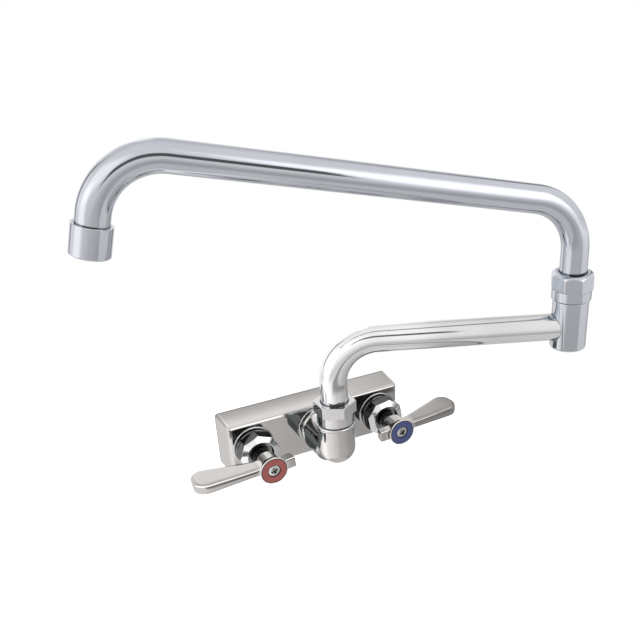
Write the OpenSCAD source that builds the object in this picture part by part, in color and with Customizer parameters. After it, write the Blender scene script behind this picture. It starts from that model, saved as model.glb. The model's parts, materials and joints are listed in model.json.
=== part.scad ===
// Splash-mount faucet: a cast body on the wall, two quarter-turn lever valves,
// and a double-jointed swing spout. Millimetres. +Z is up and the wall is the
// plane y = 0, with the faucet on its -Y side. The origin is the middle of the
// body's back face.

/* [Body casting] */
// Distance between the two valve axes
valve_centres = 101.6; // [96:0.1:110]
// Width of the body at the wall
body_w = 140.2; // [136:0.1:150]
// Height of the body at the wall
body_h = 42.5; // [40:0.1:50]
// Depth of the body from the wall to its face
body_d = 23.2; // [22.5:0.1:27]
// How much each side draws in from the wall to the face
body_draft = 1.9; // [1:0.1:3]
// Rounding of the edges round the face
body_edge_r = 3; // [2:0.1:4]
// Step of the valve and outlet bosses past the face
boss_step = 4.3; // [3.5:0.1:6]
// Radius of the valve bosses
boss_r = 14.6; // [14.4:0.1:16]
// Wall left round threads and waterways
casting_wall = 2.2; // [2:0.1:3]

/* [Inlets] */
// Wall radius of the female inlet threads
inlet_r = 9.6; // [9:0.1:10.5]
// Depth of the inlet threads
inlet_depth = 13; // [12:0.1:14]
// Radius of the port through each valve seat
port_r = 5.5; // [4.5:0.1:6]
// Thickness of the wall that carries each valve seat
seat_wall = 3; // [2.5:0.1:4]

/* [Valves] */
// Radius of the valve chambers
chamber_r = 10.2; // [9.9:0.1:10.4]
// Length of the threaded neck in front of each boss
neck_len = 6.5; // [5.5:0.1:8]
// Corner radius of the eight-sided bonnet nuts
bonnet_r = 15.1; // [15:0.1:16]
// Straight length of the bonnet nuts
bonnet_len = 8.4; // [8.3:0.1:10]
// Length of the nuts' conical nose
bonnet_nose = 2.7; // [2.2:0.1:4]
// Radius of the opening in the nose
bonnet_bore_r = 9.7; // [9:0.1:10.2]
// Radius of the gland that stands in the opening
gland_r = 7.2; // [6.8:0.1:8]
// How far the gland reaches past the flange
gland_len = 4.3; // [3.5:0.1:5]
// Radius of the ceramic discs
disc_r = 7.8; // [7.5:0.1:7.9]
// Thickness of each ceramic disc
disc_t = 2.8; // [2.5:0.1:3.2]
// Angle of each of the two ports in a disc
disc_port_angle = 70; // [60:1:80]

/* [Stems] */
// Radius of the stem in its gland
stem_r = 4; // [3.8:0.05:4.5]
// Radius of the stem's collar between nut and lever
collar_r = 6; // [5.5:0.1:6.6]
// Distance from the wall to the back of the lever's hub
hub_back = 46.5; // [45.5:0.1:49]
// Corner radius of the twelve-sided broach in the hub
broach_r = 4.6; // [4.4:0.1:5]
// Length of the broach
broach_len = 9.4; // [8:0.1:10]

/* [Levers] */
// Length of a hub from back to front rim
hub_len = 16.2; // [16:0.1:18]
// Radius of a hub's barrel
hub_r = 7.8; // [7.4:0.1:8.4]
// Radius of a hub's front rim
rim_r = 10.2; // [10:0.1:11]
// Reach of a lever from its stem
lever_reach = 54.3; // [50:0.1:64]
// Rounding of a lever's front corner, seen from above
lever_tip_r = 9.5; // [6:0.1:10]
// Rounding of a lever's back corner, seen from above
lever_tip_back_r = 7.6; // [5:0.1:9]
// Height of a lever's centre line over its stem
lever_rise = 2.6; // [2:0.1:3.2]
// Thickness of a lever at its hub
lever_root_t = 6; // [5:0.1:6.6]
// Thickness of a lever near its tip
lever_tip_t = 7.8; // [6:0.1:9]
// Reach of the stub behind the hub
tail_reach = 17; // [15:0.1:20]
// Droop of the hot lever below level
hot_droop = 5.6; // [0:0.1:8]
// Outer radius of the coloured index rings
index_r = 9.3; // [9:0.1:9.4]
// Radius of the screw heads
screw_head_r = 4.2; // [3.8:0.1:4.4]

/* [Swivels] */
// Distance from the wall to the lower swivel axis
swivel_y = 56.85; // [56:0.1:64]
// Radius of the outlet elbow
elbow_r = 13.3; // [13.3:0.1:14.2]
// Height of the elbow's centre over the valve axes
elbow_z = 2.5; // [0:0.1:4]
// Height of the socket rim of the lower swivel
lower_rim_z = 21.7; // [20:0.1:26]
// Radius of the swivel sockets
socket_r = 9.3; // [9:0.1:9.6]
// Depth of the swivel sockets
socket_depth = 18.8; // [17:0.1:20]
// Running clearance of a spigot in its socket, on the radius
spigot_play = 0.05; // [0.03:0.01:0.09]
// Height of a nut's round skirt
skirt_h = 8.3; // [8:0.1:9]
// Corner radius of the swivel nuts
swivel_nut_r = 15.25; // [15.2:0.05:16]
// Height of the lower nut's hexagon
lower_nut_h = 8.5; // [8.3:0.1:10]
// Height of the upper nut's octagon
upper_nut_h = 11.6; // [10:0.1:13]
// Gap between a nut's skirt and the rim below it
skirt_gap = 0.6; // [0.3:0.1:1]

/* [Spout] */
// Outside diameter of the spout tube
tube_od = 19.05; // [18.5:0.05:19.3]
// Wall of the spout tube
tube_wall = 1.2; // [1:0.05:1.5]
// Height of the first arm's level run
arm_1_z = 83.9; // [80:0.1:120]
// Reach of the first arm between the two swivels
arm_1_reach = 166.65; // [120:0.05:220]
// Bend radius of the first arm
arm_1_bend = 31.75; // [28:0.25:38]
// Direction of the first arm, from +X toward the wall
arm_1_turn = -22.5; // [-90:0.5:10]
// Radius of the casting on the end of the first arm
end_r = 12.7; // [12.4:0.1:13.5]
// How far the end casting reaches below the level run
end_drop = 15.4; // [13.5:0.1:20]
// How far the end casting reaches above the level run
end_rise = 20.2; // [19.5:0.1:26]
// Height of the second arm's lower bend corner over the level run
arm_2_rise = 86.2; // [84:0.1:120]
// Length of the second arm's run between its bend corners
arm_2_run = 292.7; // [200:0.1:340]
// Slope of the second arm's run
arm_2_slope = 10.8; // [0:0.1:15]
// Bend radius of the second arm
arm_2_bend = 38.1; // [32:0.1:42]
// Direction of the second arm, from +X toward the wall
arm_2_turn = 167.6; // [90:0.1:180]
// Lean of the outlet away from straight down
outlet_lean = 14.5; // [0:0.1:20]
// Length of the outlet from its bend corner to its mouth
outlet_len = 59; // [58:0.1:80]
// Outer radius of the outlet collar
outlet_collar_r = 11.5; // [11.3:0.1:13]
// Length of the outlet collar
outlet_collar_len = 18; // [16:0.1:20]

/* [Hidden] */
$fn = 96;

// Small amounts: overlap of cutting tools, slack of assembled fits, face gaps
cut = 1;
slack = 0.1;
seat_gap = 0.05;
edge = 0.8;
fine_edge = 0.3;
chrome = [0.80, 0.79, 0.79];
brass = [0.72, 0.60, 0.33];
steel = [0.62, 0.63, 0.65];
rubber = [0.10, 0.10, 0.11];
ceramic = [0.90, 0.88, 0.84];
plastic = [0.86, 0.86, 0.84];
hot_red = [0.62, 0.26, 0.24];
cold_blue = [0.18, 0.22, 0.47];

// Body: each side slopes in to a round edge that it meets without a crease
valve_x = valve_centres / 2;
draft_slope = body_draft / body_d;
draft_angle = atan(draft_slope);
edge_depth = body_d - body_edge_r;
edge_inset = edge_depth * draft_slope + body_edge_r / cos(draft_angle);
corner_r = 3.2;
boss_front = body_d + boss_step;
step_ring_r = elbow_r + 1;

// Valves, in depth from the wall
seat_depth = inlet_depth + seat_wall;
seal_t = 1.6;
seal_r = chamber_r - 1.5;
seal_bore_r = port_r + 0.3;
fixed_disc_back = seat_depth + seal_t;
moving_disc_back = fixed_disc_back + disc_t + seat_gap;
moving_disc_front = moving_disc_back + disc_t;
disc_pocket_r = disc_r + slack;
cage_r = disc_pocket_r + 0.9;
window_len = 4;
window_w = 2 * disc_r * 0.7;
bearing_back = moving_disc_front + window_len;
neck_end = boss_front + neck_len;
neck_r = chamber_r + casting_wall;
barrel_r = chamber_r - slack;
barrel_back = bearing_back + 1;
flange_r = neck_r - 0.5;
flange_t = 2;
flange_front = neck_end + flange_t;
bonnet_back = boss_front + seat_gap;
bonnet_shoulder = bonnet_back + bonnet_len;
bonnet_front = bonnet_shoulder + bonnet_nose;
bonnet_lip = 0.5;
gland_front = flange_front + gland_len;
gland_groove_at = flange_front + 1.4;
gland_groove_w = 0.8;
gland_groove_d = 0.6;

// O-rings: wire thickness and the free space kept round each of them
ring_wire = 1.78;
stem_ring_wire = 1.1;
ring_gap = 0.03;
ring_groove_w = 2.3;
stem_groove_w = 1.5;

// Disc ports lie between these radii
disc_port_in = 2.2;
disc_port_out = disc_r - 1.2;
tang_w = 4;
tang_len = 11;
tang_t = 1.4;
stem_flange_r = disc_port_out - 0.2;
stem_play = 0.05;
stem_ring_depths = [neck_end - 3.2, neck_end + 0.4];
collar_back = gland_front + 0.3;
collar_groove_at = hub_back - 2.9;
collar_groove_w = 1;
collar_groove_d = 0.7;
tap_r = 1.9;
tap_run_out = 4;
screw_r = 1.8;
screw_hole_r = 2.2;
screw_reach = 3;

// Levers and hubs, in depth from the wall
hub_front = hub_back + hub_len;
index_recess = 1.3;
index_t = 1.2;
screw_head_h = 3.4;
screw_seat = hub_front - screw_head_h + 0.1;
screw_dome_r = 3.2 * screw_head_r;
screw_head_play = 0.15;
recess_len = 5.2;
recess_w = 1.2;
recess_d = 2;
hub_web_back = hub_back + broach_len + 0.4;
flare_len = 7.7;
flare_back = hub_front - flare_len;
paddle_front_root = hub_front - fine_edge;
tip_front_drop = 4.9;
paddle_front_tip = hub_front - tip_front_drop;
root_inset = 6.9;
paddle_back_root = hub_back + root_inset;
tip_back_sweep = 12;
paddle_back_tip = hub_back - tip_back_sweep;
paddle_root = 16;
tip_slant = 2.9;
tail_back = hub_back + 6.5;
tail_front = hub_front - 2.4;
tail_slant = 1.2;
tail_bottom = -lever_root_t / 2 - 1.6;
tail_h = lever_root_t + 2.2;

// Turns at which the nuts and screws stand when tight
hot_nut_turn = 2;
cold_nut_turn = 31;
hot_screw_turn = 20;
cold_screw_turn = 30;
lower_nut_turn = 30;
upper_nut_turn = 31.5;

// Swivels
nut_thread_play = 0.1;
swivel_neck_r = socket_r + casting_wall;
swivel_neck_h = 9.1;
spigot_flange_t = 2.5;
washer_t = 1.2;
lower_skirt_r = elbow_r - 0.1;
upper_skirt_r = end_r + 1.2;
lower_nut_round = 1.2;
upper_nut_round = 4;
nut_bore_r = swivel_neck_r + nut_thread_play;
spigot_r = socket_r - spigot_play;
waterway_r = 6.5;
tube_r = tube_od / 2;
tube_bore_r = tube_r - tube_wall;
spigot_stub_len = 6;
bend_squeeze = 0.05;
bend_lap = 0.2;
tube_play = 0.35;
spigot_bore_r = 5.6;
spigot_lip = 0.4;
spigot_bottom = swivel_neck_h - socket_depth + 0.5;
spigot_ring_inset = 4;
spigot_ring_pitch = 8;
spigot_ring_heights = [
    swivel_neck_h - spigot_ring_inset,
    swivel_neck_h - spigot_ring_inset - spigot_ring_pitch
];
tube_start = swivel_neck_h + seat_gap + spigot_flange_t;
washer_bottom = tube_start + seat_gap;

// Lower elbow: the barrel is a little slimmer than the round end it runs into
elbow_barrel_r = elbow_r - 0.2;
bead_r = elbow_r + 0.7;
bead_h = 2.7;

// Cross passage between the valve chambers, a flat cored slot
passage_w = 5;
passage_h = 13;
passage_depth = body_d - casting_wall - passage_w / 2;

// First arm
end_top = arm_1_z + end_rise;
end_foot_r = 1.5;
end_socket_depth = 4;
arm_1_tube_end = arm_1_reach - end_r + end_socket_depth;
joint_x = arm_1_reach * cos(arm_1_turn);
joint_y = arm_1_reach * sin(arm_1_turn) - swivel_y;
arm_1_route = [[0, lower_rim_z + tube_start], [0, arm_1_z], [arm_1_tube_end, arm_1_z]];

// Second arm, in its own upright plane: distance out from the joint, height
elbow_corner = [0, arm_1_z + arm_2_rise];
outlet_corner = elbow_corner + arm_2_run * [cos(arm_2_slope), sin(arm_2_slope)];
outlet_dir = [sin(outlet_lean), -cos(outlet_lean)];
collar_overlap = 9;
tube_outlet_len = outlet_len - outlet_collar_len + collar_overlap;
arm_2_route = [
    [0, end_top + tube_start],
    elbow_corner,
    outlet_corner,
    outlet_corner + tube_outlet_len * outlet_dir
];

// Outlet, in heights up from the mouth
mouth_wall = 1.6;
mouth_lip = 1;
insert_h = 5.6;
insert_r = tube_r - 0.3;
insert_wall = 1.2;
slat_t = 0.7;
slat_gap = 2.6;
slat_h = 3.6;
gasket_bottom = mouth_wall + insert_h;
gasket_top = outlet_collar_len - collar_overlap;
gasket_bore_r = tube_bore_r - 0.8;

function unit(v) = v / norm(v);
function heading(v) = atan2(v[1], v[0]);
// Turn to the left at corner i of a route, in degrees
function turn_at(route, i) =
    let (a = unit(route[i] - route[i - 1]), b = unit(route[i + 1] - route[i]))
    atan2(a[0] * b[1] - a[1] * b[0], a * b);
// Length that a bend takes off each run beside corner i, none at the ends
function bend_take(route, bend_r, i) =
    i == 0 || i == len(route) - 1 ? 0 : bend_r * tan(abs(turn_at(route, i)) / 2);

// Things drawn on a valve axis: depth from the wall becomes height
module on_valve(side) {
    translate([side * valve_x, 0, 0]) rotate([90, 0, 0]) children();
}

// Ring with square ends
module ring(outer_r, inner_r, from, to) {
    translate([0, 0, from]) difference() {
        cylinder(r = outer_r, h = to - from);
        translate([0, 0, -cut]) cylinder(r = inner_r, h = to - from + 2 * cut);
    }
}

// O-ring of round wire whose outer radius is outer_r, centred at height z
module o_ring(outer_r, wire, z) {
    translate([0, 0, z]) rotate_extrude()
        translate([outer_r - wire / 2, 0]) circle(wire / 2, $fn = 32);
}

// Flat ring whose rim is a full round
module bead(outer_r, h) {
    rotate_extrude() {
        square([outer_r - h / 2, h]);
        translate([outer_r - h / 2, h / 2]) circle(h / 2, $fn = 32);
    }
}

// Flat outline with each corner rounded by its own radius, listed anticlockwise
module rounded_outline(corners, radii) {
    n = len(corners);
    into = [for (i = [0:n - 1]) unit(corners[i] - corners[(i + n - 1) % n])];
    takes = [for (i = [0:n - 1]) radii[i] * tan(acos(into[i] * into[(i + 1) % n]) / 2)];
    polygon([
        for (i = [0:n - 1]) each [corners[i] - takes[i] * into[i], corners[i] + takes[i] * into[(i + 1) % n]]
    ]);
    for (i = [0:n - 1]) {
        left = [-into[i][1], into[i][0]];
        if (radii[i] > 0) translate(corners[i] - takes[i] * into[i] + radii[i] * left) circle(radii[i]);
    }
}

// Solid rod along a flat route of runs and bends, in the XZ plane. A bend is
// drawn in a hair from its runs, as a mandrel leaves it, and laps into them.
module rod_along(route, bend_r, r) {
    last = len(route) - 1;
    rotate([90, 0, 0]) {
        for (i = [0:last - 1]) {
            along = unit(route[i + 1] - route[i]);
            from = route[i] + bend_take(route, bend_r, i) * along;
            to = route[i + 1] - bend_take(route, bend_r, i + 1) * along;
            translate(from) rotate(heading(along)) rotate([0, 90, 0])
                cylinder(r = r, h = norm(to - from));
        }
        for (i = [1:last - 1]) {
            turn = turn_at(route, i);
            along = unit(route[i] - route[i - 1]);
            side = turn > 0 ? 1 : -1;
            start = route[i] - bend_take(route, bend_r, i) * along;
            first = heading(along) - 90 * side + min(turn, 0);
            lap = bend_lap / bend_r * 180 / PI;
            translate(start + side * bend_r * [-along[1], along[0]])
                rotate(first - lap) rotate_extrude(angle = abs(turn) + 2 * lap)
                    translate([bend_r, 0]) circle(r - bend_squeeze);
        }
    }
}

// Tube along a route: the bore runs past both ends
module tube_along(route, bend_r) {
    last = len(route) - 1;
    longer = [
        for (i = [0:last])
            i == 0 ? route[0] - cut * unit(route[1] - route[0])
            : i == last ? route[last] + cut * unit(route[last] - route[last - 1])
            : route[i]
    ];
    difference() {
        rod_along(route, bend_r, tube_r);
        rod_along(longer, bend_r, tube_bore_r);
    }
}

// Outline of the body seen along an edge: sloped sides and rounded front edges
module body_side(half_w) {
    front_half = half_w - edge_inset;
    tangent = body_edge_r * [cos(draft_angle), sin(draft_angle)];
    polygon([
        [-half_w, 0], [half_w, 0],
        [front_half + tangent[0], edge_depth + tangent[1]], [front_half, body_d],
        [-front_half, body_d], [-front_half - tangent[0], edge_depth + tangent[1]]
    ]);
    for (side = [-1, 1]) translate([side * front_half, edge_depth]) circle(body_edge_r);
}

// What is cut off one corner of the body to leave a tapered round
module corner_cutter() {
    difference() {
        translate([0, 0, -cut]) cube([2 * corner_r, 2 * corner_r, body_d + 2 * cut]);
        cylinder(r1 = corner_r, r2 = corner_r - body_draft, h = body_d);
    }
}

// Cast block with drafted sides, lying on the wall with its face toward +Z
module body_block() {
    difference() {
        intersection() {
            rotate([90, 0, 0]) linear_extrude(body_w, center = true) body_side(body_w / 2);
            rotate([90, 0, 90]) linear_extrude(body_w, center = true) body_side(body_h / 2);
        }
        for (mx = [0, 1], my = [0, 1])
            mirror([mx, 0, 0]) mirror([0, my, 0])
                translate([body_w / 2 - corner_r, body_h / 2 - corner_r, 0]) corner_cutter();
    }
}

module valve_boss() {
    cylinder(r = boss_r, h = boss_front);
    cylinder(r = neck_r, h = neck_end);
}

module valve_bores() {
    translate([0, 0, -cut]) cylinder(r = inlet_r, h = inlet_depth + cut);
    cylinder(r = port_r, h = neck_end);
    translate([0, 0, seat_depth]) cylinder(r = chamber_r, h = neck_end);
}

// Round-ended slot through which both chambers feed the outlet
module cross_passage() {
    half = passage_h / 2 - passage_w / 2;
    translate([0, -passage_depth, 0]) rotate([90, 0, 90])
        linear_extrude(2 * valve_x, center = true) {
            translate([-passage_w / 2, -half]) square([passage_w, 2 * half]);
            for (side = [-1, 1]) translate([0, side * half]) circle(passage_w / 2);
        }
}

module body_casting() {
    color(chrome) difference() {
        union() {
            rotate([90, 0, 0]) body_block();
            for (side = [-1, 1]) on_valve(side) valve_boss();
            translate([0, 0, elbow_z]) rotate([90, 0, 0]) {
                cylinder(r = step_ring_r, h = boss_front);
                cylinder(r = elbow_barrel_r, h = swivel_y);
            }
            translate([0, -swivel_y, 0]) {
                translate([0, 0, elbow_z]) sphere(elbow_r);
                translate([0, 0, elbow_z]) cylinder(r = elbow_r, h = lower_rim_z - bead_h - elbow_z);
                translate([0, 0, lower_rim_z - bead_h]) bead(bead_r, bead_h);
                translate([0, 0, elbow_z])
                    cylinder(r = swivel_neck_r, h = lower_rim_z + swivel_neck_h - elbow_z);
            }
        }
        for (side = [-1, 1]) on_valve(side) valve_bores();
        cross_passage();
        translate([0, -passage_depth, elbow_z]) rotate([90, 0, 0])
            cylinder(r = waterway_r, h = swivel_y - passage_depth);
        translate([0, -swivel_y, elbow_z]) {
            sphere(waterway_r);
            cylinder(r = waterway_r, h = lower_rim_z);
        }
        translate([0, -swivel_y, lower_rim_z + swivel_neck_h - socket_depth])
            cylinder(r = socket_r, h = socket_depth + cut);
    }
}

// Rubber ring that seals a cartridge to its seat
module seat_seal() {
    color(rubber) ring(seal_r, seal_bore_r, seat_depth, fixed_disc_back);
}

// Two wide ports, opposite each other
module disc_ports(h) {
    for (turn = [0, 180])
        rotate(turn - disc_port_angle / 2) rotate_extrude(angle = disc_port_angle)
            translate([disc_port_in, -cut]) square([disc_port_out - disc_port_in, h + 2 * cut]);
}

module fixed_disc() {
    color(ceramic) translate([0, 0, fixed_disc_back]) difference() {
        cylinder(r = disc_r, h = disc_t);
        rotate(90) disc_ports(disc_t);
    }
}

module moving_disc() {
    color(ceramic) translate([0, 0, moving_disc_back]) difference() {
        cylinder(r = disc_r, h = disc_t);
        disc_ports(disc_t);
        translate([-tang_w / 2 - slack, -tang_len / 2 - slack, disc_t - tang_t])
            cube([tang_w + 2 * slack, tang_len + 2 * slack, tang_t + cut]);
    }
}

// Brass cartridge: disc cage with windows, threaded barrel, flange and gland
module cartridge() {
    o_ring_depth = (barrel_back + neck_end) / 2;
    color(brass) difference() {
        union() {
            translate([0, 0, fixed_disc_back]) cylinder(r = cage_r, h = neck_end - fixed_disc_back);
            translate([0, 0, barrel_back]) cylinder(r = barrel_r, h = neck_end - barrel_back);
            translate([0, 0, neck_end]) cylinder(r = flange_r, h = flange_t);
            translate([0, 0, neck_end]) cylinder(r = gland_r, h = gland_front - neck_end);
        }
        translate([0, 0, fixed_disc_back - cut])
            cylinder(r = disc_pocket_r, h = bearing_back - fixed_disc_back + cut);
        cylinder(r = stem_r + stem_play, h = gland_front + cut);
        translate([-chamber_r, -window_w / 2, moving_disc_front])
            cube([2 * chamber_r, window_w, window_len]);
        ring(chamber_r, chamber_r - ring_wire - ring_gap - slack, o_ring_depth - ring_groove_w / 2,
            o_ring_depth + ring_groove_w / 2);
        ring(gland_r + cut, gland_r - gland_groove_d, gland_groove_at, gland_groove_at + gland_groove_w);
    }
}

module cartridge_o_ring() {
    color(rubber) o_ring(chamber_r - ring_gap, ring_wire, (barrel_back + neck_end) / 2);
}

// Eight-sided nut with a conical nose
module bonnet_nut() {
    color(chrome) difference() {
        intersection() {
            translate([0, 0, bonnet_back]) cylinder(r = bonnet_r, h = bonnet_front - bonnet_back, $fn = 8);
            union() {
                translate([0, 0, bonnet_back]) cylinder(r = bonnet_r + cut, h = bonnet_len);
                translate([0, 0, bonnet_shoulder])
                    cylinder(r1 = bonnet_r + cut, r2 = bonnet_bore_r + bonnet_lip, h = bonnet_nose);
            }
        }
        translate([0, 0, bonnet_back - cut])
            cylinder(r = neck_r + slack, h = flange_front + seat_gap - bonnet_back + cut);
        cylinder(r = bonnet_bore_r, h = bonnet_front + cut);
    }
}

// Stem: tang and flange behind the bearing, shaft, grooved collar, broach
module stem() {
    color(steel) difference() {
        union() {
            translate([0, 0, moving_disc_front - tang_t + slack]) intersection() {
                translate([-tang_w / 2, -tang_len / 2, 0]) cube([tang_w, tang_len, window_len]);
                cylinder(r = stem_flange_r, h = window_len);
            }
            translate([0, 0, moving_disc_front + slack]) {
                cylinder(r = stem_flange_r, h = window_len - 2 * slack);
                cylinder(r = stem_r, h = hub_back - moving_disc_front);
            }
            translate([0, 0, collar_back]) cylinder(r = collar_r, h = hub_back - collar_back);
            translate([0, 0, hub_back]) cylinder(r = broach_r, h = broach_len, $fn = 12);
        }
        for (z = stem_ring_depths)
            ring(stem_r + cut, stem_r - stem_ring_wire, z - stem_groove_w / 2, z + stem_groove_w / 2);
        translate([0, 0, collar_groove_at])
            ring(collar_r + cut, collar_r - collar_groove_d, 0, collar_groove_w);
        translate([0, 0, hub_back - tap_run_out]) cylinder(r = tap_r, h = broach_len + tap_run_out + cut);
    }
}

module stem_o_rings() {
    color(rubber) for (z = stem_ring_depths)
        o_ring(stem_r + stem_play - ring_gap, stem_ring_wire, z);
}

// Paddle and tail seen from above: distance from the stem, depth from the wall
module lever_plan() {
    rounded_outline([
        [0, -paddle_front_root], [lever_reach, -paddle_front_tip],
        [lever_reach - tip_slant, -paddle_back_tip], [0, -paddle_back_root]
    ], [0, lever_tip_r, lever_tip_back_r, 0]);
}

module tail_plan() {
    polygon([
        [0, -tail_back], [-tail_reach + tail_slant, -tail_back],
        [-tail_reach, -tail_front], [0, -tail_front]
    ]);
}

// Lever pointing to +X from a stem at x = 0, with the wall at y = 0
module lever_arm() {
    intersection() {
        linear_extrude(4 * lever_tip_t, center = true) lever_plan();
        translate([0, 0, lever_rise]) rotate([90, 0, 0]) linear_extrude(3 * hub_front, center = true)
            polygon([
                [0, -lever_root_t / 2], [paddle_root, -lever_root_t / 2],
                [lever_reach, -lever_tip_t / 2], [lever_reach, lever_tip_t / 2],
                [paddle_root, lever_root_t / 2], [0, lever_root_t / 2]
            ]);
    }
    translate([0, 0, tail_bottom]) linear_extrude(tail_h) tail_plan();
}

// Hub: a barrel with a chamfered back that flares to the front rim
module hub() {
    curve_len = flare_len - index_recess;
    curve_gain = rim_r - hub_r;
    flare_r = (curve_len * curve_len + curve_gain * curve_gain) / (2 * curve_gain);
    rotate_extrude() difference() {
        translate([0, hub_back]) polygon([
            [0, 0], [hub_r - edge, 0], [hub_r, edge], [hub_r, flare_back - hub_back],
            [rim_r, flare_back - hub_back], [rim_r, hub_len - fine_edge],
            [rim_r - fine_edge, hub_len], [0, hub_len]
        ]);
        translate([hub_r + flare_r, flare_back]) circle(flare_r, $fn = 180);
    }
}

module lever() {
    color(chrome) difference() {
        union() {
            hub();
            rotate([-90, 0, 0]) lever_arm();
        }
        translate([0, 0, hub_back - cut])
            cylinder(r = broach_r + seat_gap, h = hub_web_back - hub_back + cut, $fn = 12);
        translate([0, 0, hub_back]) cylinder(r = screw_hole_r, h = hub_len + cut);
        translate([0, 0, screw_seat]) cylinder(r = screw_head_r + screw_head_play, h = hub_len);
        translate([0, 0, hub_front - index_recess]) cylinder(r = index_r + slack, h = hub_len);
    }
}

module index_ring(tint) {
    floor_depth = hub_front - index_recess;
    color(tint) ring(index_r, screw_head_r + screw_head_play, floor_depth, floor_depth + index_t);
}

// Pan-head screw with a cross recess
module handle_screw() {
    color(steel) difference() {
        union() {
            translate([0, 0, screw_seat]) rotate_extrude() intersection() {
                square([screw_head_r, screw_head_h]);
                translate([0, screw_head_h - screw_dome_r]) circle(screw_dome_r, $fn = 180);
            }
            translate([0, 0, hub_back - screw_reach])
                cylinder(r = screw_r, h = screw_seat - hub_back + screw_reach + slack);
        }
        for (turn = [0, 90]) rotate(turn)
            translate([-recess_len / 2, -recess_w / 2, screw_seat + screw_head_h - recess_d])
                cube([recess_len, recess_w, recess_d + cut]);
    }
}

// Nut on a swivel: round skirt, then a body with sides faces, both over the neck
module swivel_nut(skirt_r, sides, body_len, corner_round) {
    top = skirt_h + body_len;
    color(chrome) difference() {
        union() {
            translate([0, 0, skirt_gap]) cylinder(r = skirt_r, h = skirt_h + cut - skirt_gap);
            intersection() {
                translate([0, 0, skirt_h]) cylinder(r = swivel_nut_r, h = body_len, $fn = sides);
                rotate_extrude() {
                    square([swivel_nut_r - corner_round, top]);
                    square([swivel_nut_r, top - corner_round]);
                    translate([swivel_nut_r - corner_round, top - corner_round]) circle(corner_round);
                }
            }
        }
        translate([0, 0, -cut]) cylinder(r = nut_bore_r, h = washer_bottom + washer_t + seat_gap + cut);
        translate([0, 0, -cut]) cylinder(r = tube_r + tube_play, h = top + 2 * cut);
    }
}

// Slip washer between the spigot's flange and the nut
module swivel_washer() {
    color(plastic)
        ring(nut_bore_r - slack, tube_r + tube_play, washer_bottom, washer_bottom + washer_t);
}

// Spigot brazed into the end of a tube: it turns in the socket on two O-rings
module spigot() {
    color(brass) difference() {
        union() {
            translate([0, 0, spigot_bottom])
                cylinder(r = spigot_r, h = swivel_neck_h + cut - spigot_bottom);
            translate([0, 0, swivel_neck_h + seat_gap])
                cylinder(r = swivel_neck_r - spigot_lip, h = spigot_flange_t);
            translate([0, 0, swivel_neck_h])
                cylinder(r = tube_bore_r - seat_gap, h = spigot_flange_t + spigot_stub_len);
        }
        translate([0, 0, spigot_bottom - cut]) cylinder(r = spigot_bore_r, h = 2 * socket_depth);
        for (z = spigot_ring_heights)
            translate([0, 0, z - ring_groove_w / 2])
                ring(socket_r + cut, socket_r - ring_wire - 2 * ring_gap, 0, ring_groove_w);
    }
}

module spigot_o_rings() {
    color(rubber) for (z = spigot_ring_heights) o_ring(socket_r - ring_gap, ring_wire, z);
}

module at_lower_swivel() {
    translate([0, -swivel_y, lower_rim_z]) rotate(arm_1_turn) children();
}

module at_upper_swivel() {
    translate([joint_x, joint_y, end_top]) children();
}

module lower_swivel_nut() {
    translate([0, -swivel_y, lower_rim_z]) rotate(lower_nut_turn)
        swivel_nut(lower_skirt_r, 6, lower_nut_h, lower_nut_round);
}

module upper_swivel_nut() {
    at_upper_swivel() rotate(upper_nut_turn)
        swivel_nut(upper_skirt_r, 8, upper_nut_h, upper_nut_round);
}

module arm_1_tube() {
    color(chrome) translate([0, -swivel_y, 0]) rotate(arm_1_turn) tube_along(arm_1_route, arm_1_bend);
}

// Casting on the end of the first arm: side socket for the tube, top socket for
// the second arm
module arm_1_end_casting() {
    color(chrome) translate([joint_x, joint_y, 0]) rotate(arm_1_turn) difference() {
        union() {
            translate([0, 0, arm_1_z - end_drop]) rotate_extrude() {
                square([end_r - end_foot_r, end_foot_r + cut]);
                translate([0, end_foot_r]) square([end_r, end_drop + end_rise - end_foot_r]);
                translate([end_r - end_foot_r, end_foot_r]) circle(end_foot_r, $fn = 32);
            }
            translate([0, 0, end_top - cut]) cylinder(r = swivel_neck_r, h = swivel_neck_h + cut);
        }
        translate([0, 0, end_top + swivel_neck_h - socket_depth])
            cylinder(r = socket_r, h = socket_depth + cut);
        translate([0, 0, arm_1_z - waterway_r]) cylinder(r = waterway_r, h = end_rise);
        translate([0, 0, arm_1_z]) rotate([0, -90, 0]) {
            cylinder(r = waterway_r, h = end_r);
            translate([0, 0, end_r - end_socket_depth]) cylinder(r = tube_r + slack / 2, h = end_r);
        }
    }
}

module arm_2_tube() {
    color(chrome) translate([joint_x, joint_y, 0]) rotate(arm_2_turn) tube_along(arm_2_route, arm_2_bend);
}

// Things drawn on the outlet axis: zero is the mouth and +Z runs up the tube
module on_outlet() {
    mouth = outlet_corner + outlet_len * outlet_dir;
    translate([joint_x, joint_y, 0]) rotate(arm_2_turn)
        translate([mouth[0], 0, mouth[1]]) rotate([0, -outlet_lean, 0]) children();
}

module outlet_collar() {
    color(chrome) difference() {
        rotate_extrude() polygon([
            [0, 0], [outlet_collar_r - edge, 0], [outlet_collar_r, edge],
            [outlet_collar_r, outlet_collar_len - fine_edge],
            [outlet_collar_r - fine_edge, outlet_collar_len],
            [0, outlet_collar_len]
        ]);
        translate([0, 0, mouth_wall]) cylinder(r = tube_r + slack, h = outlet_collar_len);
        translate([0, 0, -cut]) cylinder(r = insert_r - mouth_lip, h = outlet_collar_len);
    }
}

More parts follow.
